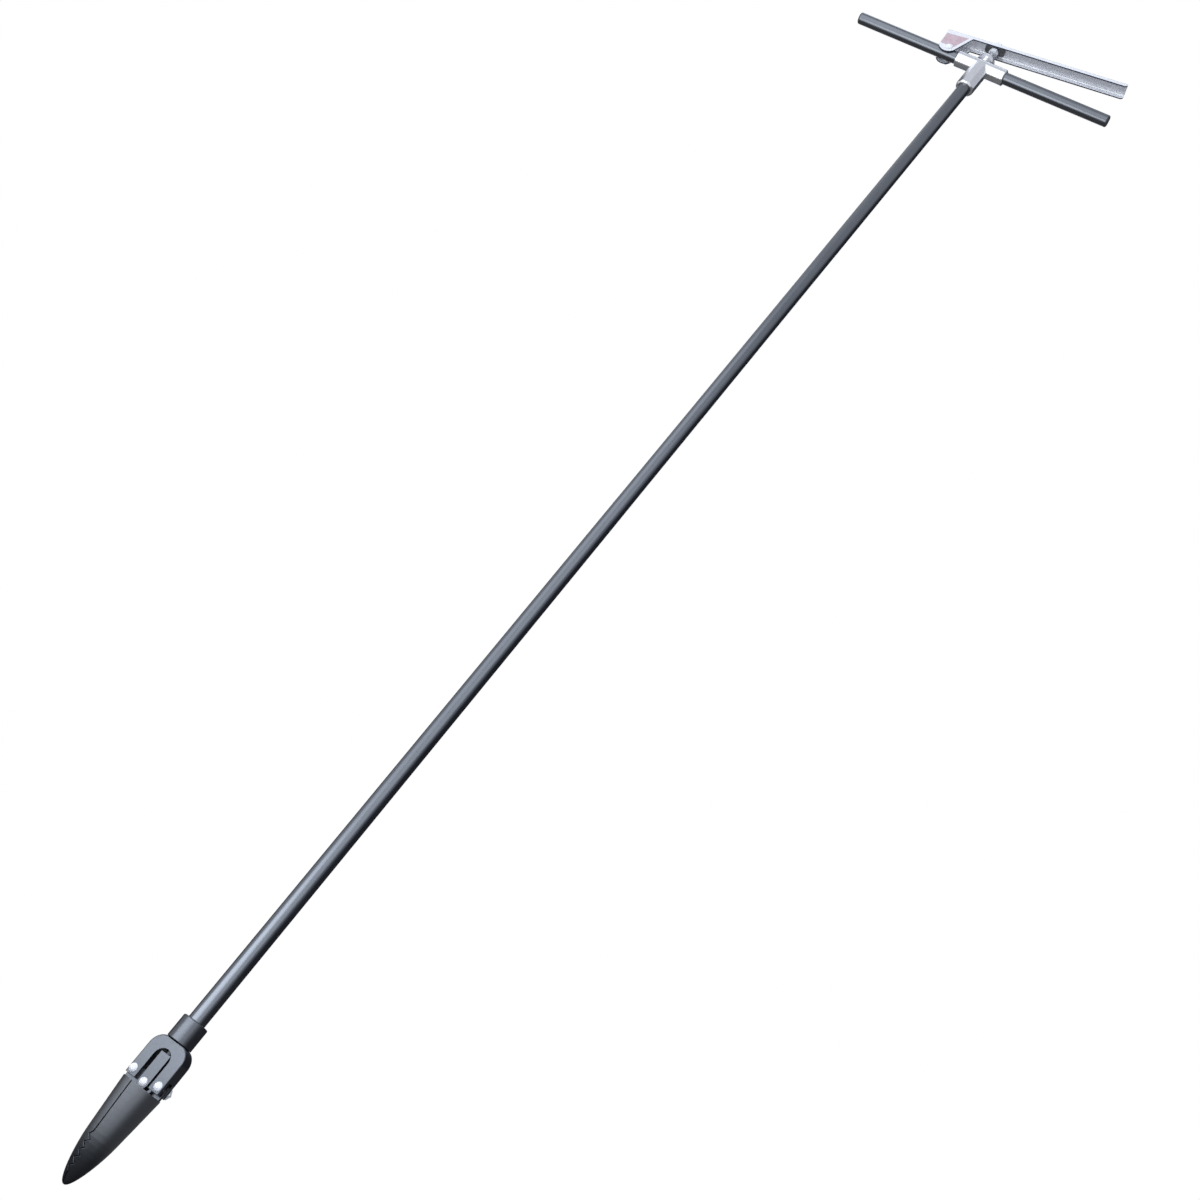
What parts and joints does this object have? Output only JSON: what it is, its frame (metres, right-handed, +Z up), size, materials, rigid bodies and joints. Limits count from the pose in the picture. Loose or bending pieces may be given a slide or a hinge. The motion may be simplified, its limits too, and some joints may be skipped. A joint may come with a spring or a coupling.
{
  "type": "long-handled soil grab",
  "caption": "Long-handled clamshell soil grab: a tube shaft with a T-bar, a squeeze lever and an inner pull rod that swings pointed, toothed jaws apart.",
  "frame": {"origin": "the closed jaws' tip, on the shaft axis", "axes": "+Z up the shaft, +X along the T-bar towards the lever's free end, -Y the side that the picture looks at"},
  "size_m": [0.384, 0.0414, 1.8446],
  "materials": {
    "shaft_paint": "satin",
    "head_paint": "satin",
    "tee_metal": "polished",
    "lever_metal": "bright",
    "pin_metal": "bright",
    "rod_steel": "bright",
    "slide_steel": "dark",
    "spring_steel": "dark",
    "guide_nylon": "matte",
    "plug_plastic": "matte"
  },
  "bodies": {
    "frame": {"shaft_tube": "shaft_paint", "tee_fitting": "tee_metal", "left_bar": "shaft_paint", "right_bar": "shaft_paint", "left_end_plug": "plug_plastic", "right_end_plug": "plug_plastic", "gland_nut": "tee_metal", "upper_guide_bush": "guide_nylon", "lower_guide_bush": "guide_nylon", "fork_head": "head_paint", "left_jaw_pin": "pin_metal", "right_jaw_pin": "pin_metal", "jaw_pin_nuts": "pin_metal", "lever_pivot_pin": "pin_metal", "lever_pivot_nut": "pin_metal", "pivot_washers": "guide_nylon", "return_spring": "spring_steel"},
    "squeeze_lever": {"lever": "lever_metal"},
    "sliding_plate": {"slide_plate": "slide_steel"},
    "rod": {"pull_rod": "rod_steel", "rod_spacers": "guide_nylon", "lower_rod_nut": "pin_metal", "lower_rocker": "pin_metal", "upper_rocker": "pin_metal", "upper_rod_nut": "pin_metal", "spring_collar": "spring_steel", "spring_cross_pin": "rod_steel", "pull_link": "head_paint", "link_pin": "pin_metal", "link_nut": "pin_metal"},
    "jaw_left": {"left_jaw": "head_paint", "left_jaw_lug": "head_paint"},
    "jaw_right": {"right_jaw": "head_paint", "right_jaw_lug": "head_paint"}
  },
  "joints": [
    {"name": "lever_pivot", "type": "hinge", "parent": "frame", "child": "squeeze_lever", "pos_m": [-0.053, 0, 1.773], "axis": [0, 1, 0], "range_deg": [0, 12]},
    {"name": "plate_slide", "type": "slide", "parent": "squeeze_lever", "child": "sliding_plate", "axis": [-0.9906, 0, -0.1366], "range_m": [0, 0.0071]},
    {"name": "rod_slide", "type": "slide", "parent": "frame", "child": "rod", "axis": [0, 0, -1], "range_m": [0, 0.0114], "stiffness_N_per_m": 2000, "springref_m": -0.01, "deforming": ["return_spring"]},
    {"name": "left_jaw_hinge", "type": "hinge", "parent": "frame", "child": "jaw_left", "pos_m": [-0.01646, 0.00426, 0.106], "axis": [0.2504, 0.9681, 0], "range_deg": [0, 29.5]},
    {"name": "right_jaw_hinge", "type": "hinge", "parent": "frame", "child": "jaw_right", "pos_m": [0.01646, -0.00426, 0.106], "axis": [-0.2504, -0.9681, 0], "range_deg": [0, 29.5]}
  ],
  "couplings": [
    {"joint": "rod_slide", "follows": "lever_pivot", "m_per_rad": 0.054189},
    {"joint": "plate_slide", "follows": "lever_pivot", "m_per_rad": 0.033467},
    {"joint": "left_jaw_hinge", "follows": "lever_pivot", "ratio": 2.45},
    {"joint": "right_jaw_hinge", "follows": "lever_pivot", "ratio": 2.45}
  ]
}
